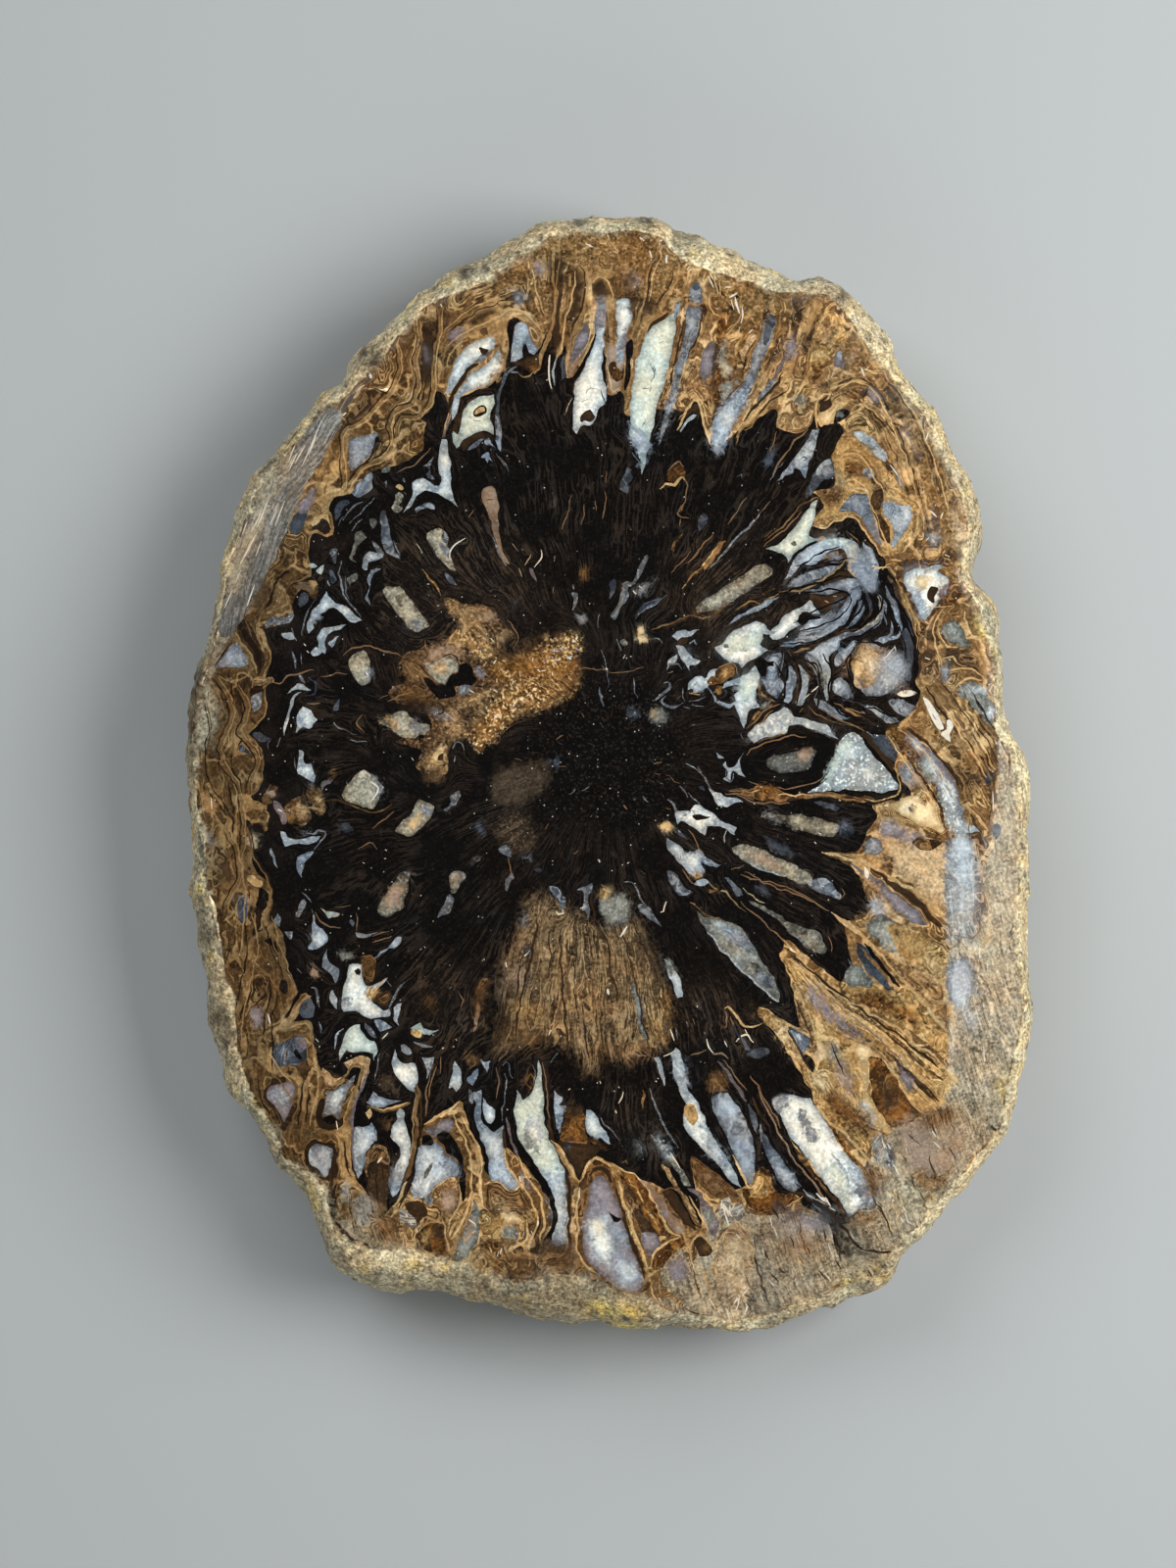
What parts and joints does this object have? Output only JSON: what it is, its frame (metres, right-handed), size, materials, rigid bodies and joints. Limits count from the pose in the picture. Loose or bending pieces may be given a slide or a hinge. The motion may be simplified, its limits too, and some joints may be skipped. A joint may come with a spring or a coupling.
{
  "type": "fossil araucaria pinecone slice",
  "caption": "Flat sawn slab of a petrified araucaria cone with one polished face, ground bevels and a rough weathered rim; lies on its sawn back.",
  "frame": {"origin": "middle of the outline's box, on the sawn back face that it rests on", "axes": "+Z is the thickness, from the sawn back to the polished face; +Y runs along the longest extent, toward the top of the cone outline as pictured; +X is to the viewer's right when looking down on the polished face"},
  "size_m": [0.0589, 0.0777, 0.011],
  "materials": {
    "petrified_cone": "polished chalcedony face, matte granular crust on the rim, sawn back"
  },
  "bodies": {
    "root": {"cone_slice": "petrified_cone"}
  },
  "joints": []
}
